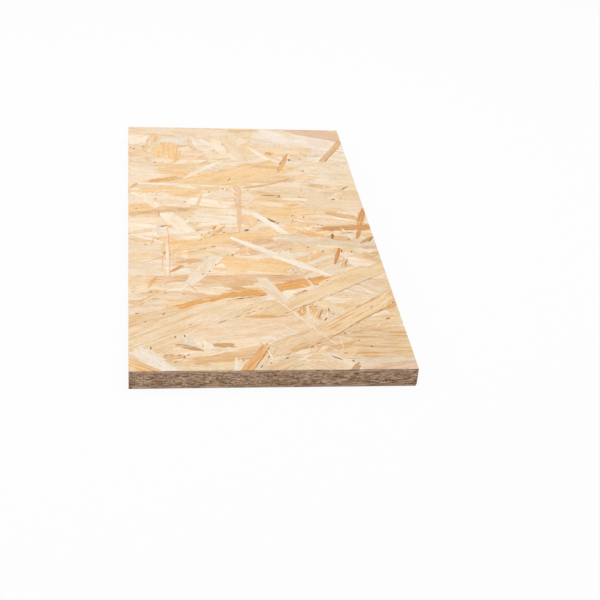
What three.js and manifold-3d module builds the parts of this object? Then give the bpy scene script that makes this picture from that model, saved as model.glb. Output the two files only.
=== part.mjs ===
// A panel of oriented strand board (OSB), sawn square on all four edges.
// Millimetres, +Z up. The origin is the centre of the underside.
// X runs along the strands of the two faces, Y along the panel's length.
import * as THREE from 'three';
import { mergeVertices } from 'three/addons/utils/BufferGeometryUtils.js';
import Module from 'manifold-3d';

// The panel
const panelWidth = 300;
const panelLength = 600;
const panelThickness = 22;
const arrisEasing = 0.5; // the saw's burr rubbed off along every long arris
const cornerRadius = 0.9; // the four upright corners, blunted by handling

// The strand layers. The two faces are pressed tight and the core is looser,
// so the gaps that the saw opens are found in the core.
const faceLayerDepth = 4.5;
const gapSpacing = 11; // along an edge, before the scatter
const gapCornerClearance = 9;
const gapLength = { least: 2.4, most: 8.5 };
const gapHeight = { least: 0.45, most: 1.15 };
const gapDepth = { least: 1.2, most: 3.6 };
const gapFloorShare = 0.45; // how far a gap narrows towards its floor
const gapMouth = 0.6; // how far a cutter stands out past the edge

// The knock on the lower corner at the front right: its reach along X, Y and Z
const knock = { x: 1.8, y: 2.6, z: 2.6 };
const knockCutterSide = 12; // longer than the knock on every side

const wasm = await Module();
wasm.setup();

// A repeatable scatter from 0 to 1, for one gap and one of its sizes
function scatter(index, channel) {
  const wave = Math.sin(index * 12.9898 + channel * 78.233) * 43758.5453;
  return wave - Math.floor(wave);
}

function between(range, share) {
  return range.least + (range.most - range.least) * share;
}

function toSolid(geometry) {
  const bare = geometry.clone();
  bare.deleteAttribute('normal');
  bare.deleteAttribute('uv');
  const merged = mergeVertices(bare, 1e-4);
  return new wasm.Manifold(new wasm.Mesh({
    numProp: 3,
    vertProperties: new Float32Array(merged.attributes.position.array),
    triVerts: new Uint32Array(merged.index.array),
  }));
}

function toGeometry(solid) {
  const mesh = solid.getMesh();
  const indexed = new THREE.BufferGeometry();
  indexed.setAttribute('position', new THREE.BufferAttribute(mesh.vertProperties, 3));
  indexed.setIndex(new THREE.BufferAttribute(mesh.triVerts, 1));
  const faceted = indexed.toNonIndexed();
  faceted.computeVertexNormals();
  return faceted;
}

// The sawn blank: the plan outline with blunted corners, its arrises eased
function blank() {
  const halfWidth = panelWidth / 2 - arrisEasing;
  const halfLength = panelLength / 2 - arrisEasing;
  const outline = new THREE.Shape();
  const corners = [
    [halfWidth, -halfLength, -90],
    [halfWidth, halfLength, 0],
    [-halfWidth, halfLength, 90],
    [-halfWidth, -halfLength, 180],
  ];
  for (const [x, y, startDegrees] of corners) {
    const start = THREE.MathUtils.degToRad(startDegrees);
    const centreX = x - Math.sign(x) * cornerRadius;
    const centreY = y - Math.sign(y) * cornerRadius;
    outline.absarc(centreX, centreY, cornerRadius, start, start + Math.PI / 2, false);
  }
  const geometry = new THREE.ExtrudeGeometry(outline, {
    depth: panelThickness - 2 * arrisEasing,
    bevelEnabled: true,
    bevelThickness: arrisEasing,
    bevelSize: arrisEasing,
    bevelSegments: 2,
    curveSegments: 3,
  });
  geometry.translate(0, 0, arrisEasing);
  return toSolid(geometry);
}

// One gap between strands, as a cutter: a slim lens that narrows as it goes in.
// Its own X runs along the edge, its Y up and its Z out of the panel.
function gapCutter(length, height, depth, lean) {
  const lens = new THREE.Shape([
    new THREE.Vector2(-length / 2, 0),
    new THREE.Vector2(-length / 5, -height / 2),
    new THREE.Vector2(length / 4, -height / 3),
    new THREE.Vector2(length / 2, lean * height),
    new THREE.Vector2(length / 6, height / 2),
    new THREE.Vector2(-length / 4, height / 3),
  ]);
  const geometry = new THREE.ExtrudeGeometry(lens, {
    depth: depth + gapMouth,
    bevelEnabled: false,
  });
  geometry.translate(0, 0, -depth);
  const position = geometry.attributes.position;
  for (let i = 0; i < position.count; i += 1) {
    if (position.getZ(i) < 0) {
      position.setX(i, position.getX(i) * gapFloorShare);
      position.setY(i, position.getY(i) * gapFloorShare);
    }
  }
  return geometry;
}

// The four edges, going round from the front: how long each is, how far out
// it lies and how far it is turned from the front edge
const edges = [
  { run: panelWidth, reach: panelLength / 2, turnDegrees: 0 },
  { run: panelLength, reach: panelWidth / 2, turnDegrees: 90 },
  { run: panelWidth, reach: panelLength / 2, turnDegrees: 180 },
  { run: panelLength, reach: panelWidth / 2, turnDegrees: 270 },
];

// The gaps of one edge, scattered along it and up the height of the core
function gapsAlong(edge, edgeNumber) {
  const cutters = [];
  const free = edge.run - 2 * gapCornerClearance;
  const count = Math.floor(free / gapSpacing);
  const core = panelThickness - 2 * faceLayerDepth;
  for (let i = 0; i < count; i += 1) {
    const index = i + edgeNumber * 1000;
    const cutter = gapCutter(
      between(gapLength, scatter(index, 1)),
      between(gapHeight, scatter(index, 2)),
      between(gapDepth, scatter(index, 3)),
      scatter(index, 4) - 0.5,
    );
    const along = -free / 2 + (i + scatter(index, 5)) * (free / count);
    const height = faceLayerDepth + core * scatter(index, 6);
    cutter.rotateX(Math.PI / 2);
    cutter.translate(along, -edge.reach, height);
    cutter.rotateZ(THREE.MathUtils.degToRad(edge.turnDegrees));
    cutters.push(toSolid(cutter));
  }
  return cutters;
}

// The knocked corner, as a block whose one face lies across the corner
function knockCutter() {
  const across = new THREE.Vector3(1 / knock.x, -1 / knock.y, -1 / knock.z).normalize();
  const onFace = new THREE.Vector3(panelWidth / 2 - knock.x, -panelLength / 2, 0);
  const centre = onFace.addScaledVector(across, knockCutterSide / 2);
  const turn = new THREE.Quaternion().setFromUnitVectors(new THREE.Vector3(0, 0, 1), across);
  const block = new THREE.BoxGeometry(knockCutterSide, knockCutterSide, knockCutterSide);
  block.applyQuaternion(turn);
  block.translate(centre.x, centre.y, centre.z);
  return toSolid(block);
}

function panelSolid() {
  const cutters = edges.flatMap(gapsAlong);
  cutters.push(knockCutter());
  const allCutters = cutters.reduce((joined, cutter) => joined.add(cutter));
  return blank().subtract(allCutters);
}

const paleStrandBoard = new THREE.MeshStandardMaterial({
  color: 0xe9cfa4,
  roughness: 0.72,
  metalness: 0,
});

const panel = new THREE.Mesh(toGeometry(panelSolid()), paleStrandBoard);
panel.name = 'osb_panel';

const group = new THREE.Group();
group.add(panel);

export default group;
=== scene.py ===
import math
import random

import bmesh
import bpy
import numpy
from mathutils import Matrix, Vector
from mathutils.geometry import delaunay_2d_cdt


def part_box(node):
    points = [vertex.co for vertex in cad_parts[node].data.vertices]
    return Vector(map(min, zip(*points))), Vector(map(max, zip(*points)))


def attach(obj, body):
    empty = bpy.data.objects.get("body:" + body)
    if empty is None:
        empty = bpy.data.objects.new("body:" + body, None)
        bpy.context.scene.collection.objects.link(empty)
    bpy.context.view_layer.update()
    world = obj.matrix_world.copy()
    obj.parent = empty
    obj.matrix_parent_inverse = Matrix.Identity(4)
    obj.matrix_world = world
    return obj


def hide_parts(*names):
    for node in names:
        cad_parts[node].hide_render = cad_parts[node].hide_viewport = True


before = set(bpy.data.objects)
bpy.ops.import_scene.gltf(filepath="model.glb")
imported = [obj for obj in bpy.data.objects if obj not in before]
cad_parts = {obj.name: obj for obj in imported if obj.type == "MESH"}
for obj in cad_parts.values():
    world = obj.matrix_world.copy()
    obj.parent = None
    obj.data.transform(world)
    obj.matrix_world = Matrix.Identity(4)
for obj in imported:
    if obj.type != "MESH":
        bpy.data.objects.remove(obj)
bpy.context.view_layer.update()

low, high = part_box("osb_panel")
panel = {
    "width": (high.x - low.x) * 1000,  # mm
    "length": (high.y - low.y) * 1000,
    "thickness": (high.z - low.z) * 1000,
}
print("panel from the frame, mm:", {key: round(value, 2) for key, value in panel.items()})

# Everything below is laid out in millimetres on flat sheets, and set in place in metres at the end.

view = {
    "place": (-0.1497, -1.3151, 0.7425),  # metres
    "turn": (58.195, -4.179, -6.815),  # degrees about X, Y and Z
    "lens": 73.23,
    "sensor": 36.0,
    "clip": (0.05, 50.0),
}


def addObject(name, data):
    found = bpy.data.objects.new(name, data)
    bpy.context.scene.collection.objects.link(found)
    return found


def setCamera():
    data = bpy.data.cameras.new("studioCamera")
    data.lens, data.sensor_width = view["lens"], view["sensor"]
    data.clip_start, data.clip_end = view["clip"]
    camera = addObject("studioCamera", data)
    camera.location = view["place"]
    camera.rotation_euler = [math.radians(angle) for angle in view["turn"]]
    bpy.context.scene.camera = camera


setCamera()

# Wood tones
tones = {  # red, green, blue from 0 to 255, as they should look in plain light
    "bone": (254, 241, 223),
    "mist": (245, 231, 215),
    "cream": (250, 233, 211),
    "pale": (247, 226, 199),
    "sand": (244, 219, 186),
    "straw": (241, 212, 173),
    "honey": (247, 211, 163),
    "tan": (233, 193, 146),
    "amber": (236, 186, 129),
    "copper": (237, 180, 113),
    "rust": (223, 166, 111),
    "brown": (206, 163, 118),
    "blush": (246, 219, 187),
    "rose": (238, 201, 163),
    "clay": (229, 196, 168),
    "grey": (238, 218, 191),
    "knot": (176, 124, 80),
    # hollow: the dark brown floor of the gaps, which is painted shade
    "hollow": (126, 82, 42),
    "endTan": (221, 185, 157),
    "endPale": (240, 211, 185),
    "endGrey": (197, 170, 155),
    "endOchre": (182, 141, 97),
    "endDark": (124, 95, 72),
}


def linearTone(name, shift=1.0):
    found = []
    for part in tones[name]:
        share = min(1.0, part / 255 * shift)
        found.append(share / 12.92 if share <= 0.04045 else ((share + 0.055) / 1.055) ** 2.4)
    return found


# Short ways to write node trees: a value is either a socket, which is linked, or a number, which is set
def isSocket(value):
    return isinstance(value, bpy.types.NodeSocket)


def feed(socket, value):
    if isSocket(value):
        socket.id_data.links.new(value, socket)
    else:
        socket.default_value = value


def addNode(tree, kind, inputs=None, **settings):
    node = tree.nodes.new(kind)
    for name, value in settings.items():
        setattr(node, name, value)
    for name, value in (inputs or {}).items():
        feed(node.inputs[name], value)
    return node


def treeOf(*values):
    return next(value.id_data for value in values if isSocket(value))


def calc(operation, *values):
    return addNode(treeOf(*values), "ShaderNodeMath", dict(enumerate(values)), operation=operation).outputs[0]


def add(first, second):
    return calc("ADD", first, second)


def minus(first, second):
    return calc("SUBTRACT", first, second)


def times(first, *others):
    for other in others:
        first = calc("MULTIPLY", first, other)
    return first


def scaled(vector, scale):
    inputs = {0: vector, "Scale": scale}
    return addNode(treeOf(vector), "ShaderNodeVectorMath", inputs, operation="SCALE").outputs[0]


def splitVector(vector):
    return list(addNode(treeOf(vector), "ShaderNodeSeparateXYZ", {0: vector}).outputs)


def joinVector(*parts):
    return addNode(treeOf(*parts), "ShaderNodeCombineXYZ", dict(enumerate(parts))).outputs[0]


def newTree(name, kind, inputs, outputs):
    tree = bpy.data.node_groups.new(name, kind)
    for label, socketKind, value in inputs:
        socket = tree.interface.new_socket(label, in_out="INPUT", socket_type="NodeSocket" + socketKind)
        if value is not None:
            socket.default_value = value
    for label, socketKind in outputs:
        tree.interface.new_socket(label, in_out="OUTPUT", socket_type="NodeSocket" + socketKind)
    return tree, addNode(tree, "NodeGroupInput").outputs, addNode(tree, "NodeGroupOutput").inputs


endFrom = 0.49  # of the length: corners past this are at a strand's end
taperCurve = 1.8  # how late a strand narrows on its way to the end


# Geometry Nodes lay one flake on each point: an outline and its rim, bent and torn to the point's own sizes
def buildLayTree():
    tree, given, out = newTree(
        "layStrands",
        "GeometryNodeTree",
        (
            ("Strand Points", "Geometry", None),
            ("Outline Corners", "Int", None),
            ("Rim Width", "Float", None),
            ("Torn Ends", "Float", None),
            ("Wavy Sides", "Float", None),
            ("Seed", "Float", None),
            ("Material", "Material", None),
        ),
        (("Flat Strands", "Geometry"),),
    )

    def stored(name, kind="FLOAT_VECTOR"):
        node = addNode(tree, "GeometryNodeInputNamedAttribute", {"Name": name}, data_type=kind)
        return node.outputs["Attribute"]

    def store(geometry, name, kind, value):
        inputs = {"Geometry": geometry, "Name": name, "Value": value}
        node = addNode(tree, "GeometryNodeStoreNamedAttribute", inputs, data_type=kind, domain="POINT")
        return node.outputs["Geometry"]

    # A unit flake: a ring of corners pushed out to a square, once for the outline and once for its rim
    circle = addNode(tree, "GeometryNodeMeshCircle", {"Vertices": given["Outline Corners"]}, fill_type="NGON")
    flakes = addNode(tree, "GeometryNodeJoinGeometry")
    for ring in (1.0, 0.0):  # joined last first
        feed(flakes.inputs[0], store(circle.outputs[0], "rimStep", "FLOAT", ring))
    x, y, _ = splitVector(addNode(tree, "GeometryNodeInputPosition").outputs[0])
    half = calc("DIVIDE", 0.5, calc("MAXIMUM", calc("ABSOLUTE", x), calc("ABSOLUTE", y)))
    square = joinVector(times(x, half), times(y, half), 0.0)
    unit = store(flakes.outputs[0], "unitPlace", "FLOAT_VECTOR", square)
    onPoints = addNode(
        tree, "GeometryNodeInstanceOnPoints", {"Points": given["Strand Points"], "Instance": unit}
    )
    real = addNode(tree, "GeometryNodeRealizeInstances", {0: onPoints.outputs[0]})

    # Each strand's own size, ends, bow and torn corners
    along, across, _ = splitVector(stored("unitPlace"))
    length, width, turn = splitVector(stored("strandSize"))
    taperFar, taperNear, slant = splitVector(stored("strandEnds"))
    bow, torn, seed = splitVector(stored("strandBend"))
    rim = calc("MINIMUM", times(stored("rimStep", "FLOAT"), given["Rim Width"], 2.0), times(width, 0.5))
    noise = addNode(
        tree,
        "ShaderNodeTexWhiteNoise",
        {"Vector": stored("unitPlace"), "W": add(seed, given["Seed"])},
        noise_dimensions="4D",
    )
    jogX, jogY, _ = splitVector(noise.outputs["Color"])
    atEnd = calc("GREATER_THAN", calc("ABSOLUTE", along), endFrom)
    ways = [calc("MAXIMUM", times(along, way), 0.0) for way in (2.0, -2.0)]
    far, near = [calc("POWER", way, taperCurve) for way in ways]
    kept = minus(minus(1.0, times(far, taperFar)), times(near, taperNear))
    tornBy = times(torn, given["Torn Ends"], atEnd, minus(jogX, 0.5))
    wavyBy = times(torn, given["Wavy Sides"], minus(1.0, atEnd), minus(jogY, 0.5))
    skew = times(add(tornBy, times(across, slant)), width, kept)
    alongPlace = add(times(along, minus(length, rim)), skew)
    acrossPlace = times(add(across, wavyBy), minus(width, rim), kept)
    acrossPlace = add(acrossPlace, times(minus(1.0, times(along, along, 4.0)), bow))

    flat = {"Vector": joinVector(alongPlace, acrossPlace, 0.0), "Angle": turn}
    turned = addNode(tree, "ShaderNodeVectorRotate", flat, rotation_type="Z_AXIS").outputs[0]
    moved = addNode(tree, "ShaderNodeVectorMath", {0: turned, 1: stored("strandPlace")}, operation="ADD")
    inputs = {"Geometry": real.outputs[0], "Position": moved.outputs[0]}
    shape = addNode(tree, "GeometryNodeSetPosition", inputs)
    inputs = {"Geometry": shape.outputs[0], "Material": given["Material"]}
    feed(out[0], addNode(tree, "GeometryNodeSetMaterial", inputs).outputs[0])
    return tree


strandRanges = {  # what each strand draws for itself, in this order
    "slant": (-0.7, 0.7),
    "torn": (0.3, 1.0),
    "seed": (0, 900),
    "figure": (0.1, 0.6),
    # border: how much painted shade darkens the strand's outline
    "border": (0.0, 0.6),
    "level": (0.0, -0.1),  # mm
    "tiltAlong": (-1, 1),
    "tiltAcross": (-1, 1),
    "rimDrop": (0.04, 0.16),  # mm
}
toneShift = (-0.022, 0.018)
mostTilt = {"tiltAlong": 0.05, "tiltAcross": 0.1}  # mm up or down at the strand's end or side


def makeStrand(x, y, length, width, turn, tone, draw, **more):
    strand = {"x": x, "y": y, "length": length, "width": width, "turn": turn}
    strand.update(taperFar=0.0, taperNear=0.0, bow=0.0)
    strand["tone"] = linearTone(tone, 1 + draw.uniform(*toneShift))
    for name, ends in strandRanges.items():
        strand[name] = draw.uniform(*ends)
    for name, size in (("tiltAlong", length), ("tiltAcross", width)):
        strand[name] = strand[name] * mostTilt[name] / max(size, 1)
    strand.update(more)
    return strand


pointColumns = {  # what the tree reads from each strand's point
    "strandSize": ("length", "width", "turn"),
    "strandEnds": ("taperFar", "taperNear", "slant"),
    "strandBend": ("bow", "torn", "seed"),
}


def shapeOutlines(strands, layTree, settings, material):
    mesh = bpy.data.meshes.new("strandPoints")
    mesh.from_pydata([(s["x"], s["y"], 0) for s in strands], [], [])
    columns = {name: [[s[key] for key in keys] for s in strands] for name, keys in pointColumns.items()}
    columns["strandPlace"] = [(s["x"], s["y"], 0.0) for s in strands]
    for name, rows in columns.items():
        attribute = mesh.attributes.new(name, "FLOAT_VECTOR", "POINT")
        attribute.data.foreach_set("vector", [part for row in rows for part in row])
    numbers = mesh.attributes.new("strandNumber", "INT", "POINT")
    numbers.data.foreach_set("value", list(range(len(strands))))
    points = addObject("strandPoints", mesh)
    lay = points.modifiers.new("layStrands", "NODES")
    lay.node_group = layTree
    sockets = {s.name: s.identifier for s in layTree.interface.items_tree if s.in_out == "INPUT"}
    for name, value in {**settings, "Material": material}.items():
        lay[sockets[name]] = value
    graph = bpy.context.evaluated_depsgraph_get()
    flat = bpy.data.meshes.new_from_object(points.evaluated_get(graph))
    points.modifiers.remove(lay)
    bpy.data.objects.remove(points)

    places = [0.0] * (3 * len(flat.vertices))
    flat.vertices.foreach_get("co", places)
    number = flat.attributes["strandNumber"].data
    step = flat.attributes["rimStep"].data
    outlines = [[None, None] for _ in strands]
    for polygon in flat.polygons:
        first = polygon.vertices[0]
        ring = [(places[3 * v], places[3 * v + 1]) for v in polygon.vertices]
        outlines[number[first].value][round(step[first].value)] = ring
    bpy.data.meshes.remove(flat)
    return outlines if settings["Rim Width"] > 0 else [[rings[0]] for rings in outlines]


def localPlace(strand, x, y):
    dx, dy = x - strand["x"], y - strand["y"]
    c, s = math.cos(strand["turn"]), math.sin(strand["turn"])
    along = c * dx + s * dy
    across = -s * dx + c * dy
    if strand["bow"]:
        across -= strand["bow"] * (1 - 4 * (along / strand["length"]) ** 2)
    return along, across


def gapTo(ring, x, y):
    best = math.inf
    for i, (ax, ay) in enumerate(ring):
        bx, by = ring[i - 1]
        ex, ey = bx - ax, by - ay
        size = ex * ex + ey * ey
        t = 0 if size == 0 else max(0.0, min(1.0, ((x - ax) * ex + (y - ay) * ey) / size))
        best = min(best, math.hypot(ax + t * ex - x, ay + t * ey - y))
    return best


def cellsInside(ring, centres):
    found = numpy.zeros(len(centres), dtype=bool)
    x, y = centres[:, 0], centres[:, 1]
    for i, (ax, ay) in enumerate(ring):
        bx, by = ring[i - 1]
        if ay != by:
            crossed = (ay > y) != (by > y)
            found ^= crossed & (x < (bx - ax) * (y - ay) / (by - ay) + ax)
    return found


def topmostStrands(outlines, centres):
    owners = numpy.full(len(centres), -1)
    rims = numpy.zeros(len(centres), dtype=bool)
    x, y = centres.T.copy()  # a column at a time, because this is the slowest part of the script
    for number in range(len(outlines) - 1, -1, -1):  # the last one lies on top
        rings = outlines[number]
        reach = numpy.array(rings[0])
        (x0, y0), (x1, y1) = reach.min(axis=0), reach.max(axis=0)
        free = numpy.nonzero((x >= x0) & (x <= x1) & (y >= y0) & (y <= y1) & (owners < 0))[0]
        if len(free) == 0:
            continue
        under = cellsInside(rings[0], centres[free])
        owners[free[under]] = number
        if len(rings) > 1:
            rims[free[under & ~cellsInside(rings[1], centres[free])]] = True
    return owners, rims


def cornersOf(lowPoint, highPoint, inset=0.0):
    (x0, y0), (x1, y1) = lowPoint, highPoint
    x0, y0, x1, y1 = x0 + inset, y0 + inset, x1 - inset, y1 - inset
    return (x0, y0), (x1, y0), (x1, y1), (x0, y1)


snapSteps = 5  # border corners this many grid steps off the window are moved onto it


# The outlines are cut into cells, each cell goes to the strand on top, and a strand's cells are joined again
def pressedPlan(outlines, lowPoint, highPoint, grid):
    corners, loops = [], []
    window = cornersOf(lowPoint, highPoint)
    for rings in outlines + [[window]]:
        xs, ys = zip(*rings[0])
        if max(xs) < lowPoint[0] or min(xs) > highPoint[0] or max(ys) < lowPoint[1] or min(ys) > highPoint[1]:
            continue
        for ring in rings:
            loops.append(list(range(len(corners), len(corners) + len(ring))))
            corners.extend(Vector(p) for p in ring)
    points, _, cells, _, _, _ = delaunay_2d_cdt(corners, [], loops, 1, grid, True)
    flat = numpy.array([(p.x, p.y) for p in points])
    centres = flat[numpy.array(cells)].mean(axis=1)
    inWindow = ((centres > lowPoint) & (centres < highPoint)).all(axis=1)
    cells = [cell for cell, kept in zip(cells, inWindow) if kept]
    tops, rims = topmostStrands(outlines, centres[inWindow])

    plan = bmesh.new()
    owner = plan.faces.layers.int.new("owner")
    rim = plan.faces.layers.int.new("rim")
    made = {}
    for cell, top, onRim in zip(cells, tops, rims):
        for i in cell:
            if i not in made:
                made[i] = plan.verts.new((points[i].x, points[i].y, 0))
        face = plan.faces.new([made[i] for i in cell])
        face[owner], face[rim] = int(top), int(onRim)
    plan.normal_update()
    for edge in plan.edges:
        edge.seam = len({(face[owner], face[rim]) for face in edge.link_faces}) != 1 or edge.is_boundary
    bmesh.ops.dissolve_limit(
        plan,
        angle_limit=0.0005,  # radians: nearly straight runs of corners become one side
        use_dissolve_boundaries=False,
        verts=plan.verts[:],
        edges=plan.edges[:],
        delimit={"SEAM"},
    )
    plan.normal_update()
    for vert in plan.verts:  # the grid may have moved border points a little off the window
        if vert.is_boundary:
            for axis in (0, 1):
                for limit in (lowPoint[axis], highPoint[axis]):
                    if abs(vert.co[axis] - limit) < snapSteps * grid:
                        vert.co[axis] = limit
    rimFaces = [f for f in plan.faces if f[rim] and len(f.verts) > 3]
    bmesh.ops.triangulate(plan, faces=rimFaces, ngon_method="EAR_CLIP")
    plan.verts.index_update()
    return plan, owner, rim


def loopsAround(vert):
    loops = list(vert.link_loops)
    ring = [next((loop for loop in loops if loop.edge.is_boundary), loops[0])]
    while len(ring) < len(loops):
        ring.append(ring[-1].link_loop_prev.link_loop_radial_next)
    return ring


def touchingPair(levels):
    for level in sorted(set(levels), reverse=True):
        above = [one >= level for one in levels]
        tops = [i for i, high in enumerate(above) if high]
        for first, second in zip(tops, tops[1:]):
            outside = above[:first] + above[second + 1 :]
            if second > first + 1 and not all(outside):
                return first, second
    return None


hair = {"width": 0.02, "mostShare": 0.25}  # mm, and the share of the side that it may take


# Where two high strands touch at one point only, they are joined by a hair,
# so that no four walls meet in one line
def joinTouching(plan, owner, rim, shares, heightAt):
    waiting = list(plan.verts)
    for vert in waiting:
        if len(vert.link_loops) < 3 or sum(1 for edge in vert.link_edges if edge.is_boundary) > 2:
            continue
        ring = loopsAround(vert)
        levels = [heightAt(vert, loop.face[owner]) for loop in ring]
        pair = touchingPair(levels + [-math.inf] if vert.is_boundary else levels)
        if pair is None:
            continue
        first, second = pair
        across = ring[(first + second - 1) // 2].link_loop_prev.edge
        step = across.other_vert(vert).co - vert.co
        part = plan.verts.new(vert.co + step * min(hair["mostShare"], hair["width"] / step.length))
        for i in range(first, second + 1):
            old = ring[i].face
            corners = [loop.vert for loop in old.loops]
            at = corners.index(vert)
            corners[at : at + 1] = [part, vert] if i == first else [vert, part] if i == second else [part]
            face = plan.faces.new(corners)
            face[owner], face[rim] = old[owner], old[rim]
            shares[(part, old[owner])] = shares.get((vert, old[owner]), 0.0)
            plan.faces.remove(old)
        waiting += [vert, part]  # more strands may touch here
    for edge in [edge for edge in plan.edges if not edge.link_faces]:
        plan.edges.remove(edge)
    plan.verts.index_update()


gapFloor = {  # the dark layer at the foot of the gaps, dressed as one endless strand: its dark tone is painted shade
    "tone": linearTone("hollow", 0.8), "figure": 0.2, "border": 1.0, "seed": 0.0, "x": 0.0, "y": 0.0,
    "turn": 0.0, "bow": 0.0, "tiltAlong": 0.0, "tiltAcross": 0.0, "rimDrop": 0.0,
}
rimMost = 0.25  # a rim takes up to this share of its strand's width
wallBorder = 0.35  # the least painted shade on a wall between two strands
bakeParts = {  # start and reach across, then start and reach up, as shares of the baked map
    "shown": (0.002, 0.984, 0.002, 0.996),
    "hidden": (0.992, 0.006, 0.0, 1.0),
}


# One closed solid: the strands at their own heights, the walls between them, and the back of the sheet
def pressSheet(strands, outlines, lowPoint, highPoint, settings):
    strands = strands + [dict(gapFloor, level=-settings["floor"])]  # owner -1 is the last one
    base, block = round(-settings["skin"], 4), round(-settings["block"], 4)
    plan, owner, rim = pressedPlan(outlines, lowPoint, highPoint, settings["grid"])

    shares = {}
    for face in plan.faces:
        number = face[owner]
        for vert in face.verts:
            key = (vert, number)
            if not face[rim]:
                shares[key] = 0.0
            elif key not in shares:
                gap = gapTo(outlines[number][0], vert.co.x, vert.co.y)
                rimWidth = min(settings["rimWidth"], strands[number]["width"] * rimMost)
                shares[key] = 1 - min(1.0, gap / rimWidth)

    def heightAt(vert, number):
        strand = strands[number]
        along, across = localPlace(strand, vert.co.x, vert.co.y)
        found = strand["level"] + strand["tiltAlong"] * along + strand["tiltAcross"] * across
        found -= strand["rimDrop"] * shares[(vert, number)]
        return round(min(found, 0.0), 4)

    joinTouching(plan, owner, rim, shares, heightAt)
    stacks = {}
    for face in plan.faces:
        for vert in face.verts:
            stacks.setdefault(vert.index, set()).add(heightAt(vert, face[owner]))
    onBorder = {}  # each border corner's next one
    for edge in plan.edges:
        if edge.is_boundary:
            loop = edge.link_loops[0]
            onBorder[loop.vert] = loop.link_loop_next.vert
            stacks[loop.vert.index].add(base)

    solid = bmesh.new()
    tone = solid.loops.layers.float_color.new("strandTone")
    grain = solid.loops.layers.float_vector.new("grainPlace")
    border = solid.loops.layers.float.new("strandEdge")
    bake = solid.loops.layers.uv.new("OFBake")
    made = {}

    def corner(vert, height):
        key = (vert.index, height)
        if key not in made:
            made[key] = solid.verts.new((vert.co.x, vert.co.y, height))
        return made[key]

    def newFace(corners):
        trimmed = [c for i, c in enumerate(corners) if c is not corners[i - 1]]
        if len(set(trimmed)) < 3 or len(set(trimmed)) != len(trimmed):
            return None
        try:
            return solid.faces.new(trimmed)
        except ValueError:  # it is there already
            return None

    def dress(face, number, borders, part="shown"):
        strand = strands[number]
        startU, reachU, startV, reachV = bakeParts[part]
        for loop, share in zip(face.loops, borders):
            x, y, _ = loop.vert.co
            along, across = localPlace(strand, x, y)
            loop[grain] = (along / 1000, across / 1000, strand["seed"])
            loop[tone] = (*strand["tone"], strand["figure"])
            loop[border] = share
            u = (x - lowPoint[0]) / (highPoint[0] - lowPoint[0])
            v = (y - lowPoint[1]) / (highPoint[1] - lowPoint[1])
            loop[bake].uv = (startU + reachU * u, startV + reachV * v)

    for face in plan.faces:
        number = face[owner]
        lifted = newFace([corner(v, heightAt(v, number)) for v in face.verts])
        if lifted:
            shareOf = {corner(v, heightAt(v, number)): shares.get((v, number), 0) for v in face.verts}
            dress(lifted, number, [shareOf[loop.vert] * strands[number]["border"] for loop in lifted.loops])

    def between(vert, start, end):
        steps = [h for h in stacks[vert.index] if min(start, end) < h < max(start, end)]
        return [corner(vert, h) for h in sorted(steps, reverse=start > end)]

    for edge in plan.edges:
        owners = [face[owner] for face in edge.link_faces]
        if len(owners) == 2 and owners[0] == owners[1]:
            continue
        loop = next(one for one in edge.link_loops if one.face is edge.link_faces[0])
        start, end = loop.vert, loop.link_loop_next.vert
        a1, a2 = heightAt(start, owners[0]), heightAt(end, owners[0])
        b1, b2 = (heightAt(start, owners[1]), heightAt(end, owners[1])) if len(owners) == 2 else (base, base)
        path = [corner(end, a2), corner(start, a1)]
        path += between(start, a1, b1) + [corner(start, b1), corner(end, b2)]
        path += between(end, b2, a2)
        wall = newFace(path)
        if wall:
            upper = owners[0] if a1 + a2 >= b1 + b2 else owners[-1]
            dress(wall, upper, [max(wallBorder, strands[upper]["border"])] * len(wall.loops))

    # The back of the sheet: a shelf under the skin and a block that fills the panel behind it
    places = [Vector((x, y, 0)) for x, y in cornersOf(lowPoint, highPoint)]
    turns = [min(onBorder, key=lambda vert: (vert.co - place).length) for place in places]
    blockCorners = cornersOf(lowPoint, highPoint, settings["inset"])
    shelf = [solid.verts.new((x, y, base)) for x, y in blockCorners]
    foot = [solid.verts.new((x, y, block)) for x, y in blockCorners]
    hiddenFaces = []
    for k, after in ((0, 1), (1, 2), (2, 3), (3, 0)):
        side = [turns[k]]
        while side[-1] is not turns[after]:
            side.append(onBorder[side[-1]])
        row = [corner(vert, base) for vert in side]
        hiddenFaces.append(newFace([shelf[k], shelf[after]] + row[::-1]))
        hiddenFaces.append(newFace([shelf[after], shelf[k], foot[k], foot[after]]))
    hiddenFaces.append(newFace(foot[::-1]))
    for face in filter(None, hiddenFaces):
        dress(face, -1, [0.0] * len(face.loops), "hidden")
    plan.free()
    return solid


knock = {"x": 1.8, "y": 2.6, "z": 2.6}  # the blunted lower corner at the front right, as on the CAD panel


def cutKnock(solid, proud):
    normal = Vector((1 / knock["x"], -1 / knock["y"], -1 / knock["z"])).normalized()
    point = Vector((panel["width"] / 2 - knock["x"], -panel["length"] / 2, 0)) + normal * proud
    bmesh.ops.bisect_plane(
        solid,
        geom=solid.verts[:] + solid.edges[:] + solid.faces[:],
        plane_co=point / 1000,
        plane_no=normal,
        clear_outer=True,
    )
    bmesh.ops.holes_fill(solid, edges=[e for e in solid.edges if e.is_boundary], sides=0)


def pressPiece(name, strands, outlines, lowPoint, highPoint, settings, place, knockProud=None):
    solid = pressSheet(strands, outlines, lowPoint, highPoint, settings)
    solid.transform(place)
    if knockProud is not None:
        cutKnock(solid, knockProud)
    openEdges = sum(1 for e in solid.edges if not e.is_manifold)
    mesh = bpy.data.meshes.new(name)
    solid.to_mesh(mesh)
    solid.free()
    mesh.materials.append(settings["material"])
    piece = addObject(name, mesh)
    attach(piece, "root")
    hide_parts("osb_panel")
    mesh.calc_loop_triangles()
    print(f"{name}: {len(mesh.loop_triangles)} triangles, {openEdges} open or crossed edges")


def sheetPlace(originPoint, across, up, outward):
    turn = Matrix((across, up, outward)).transposed().to_4x4()
    return Matrix.Translation(originPoint) @ turn @ Matrix.Scale(0.001, 4)


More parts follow.
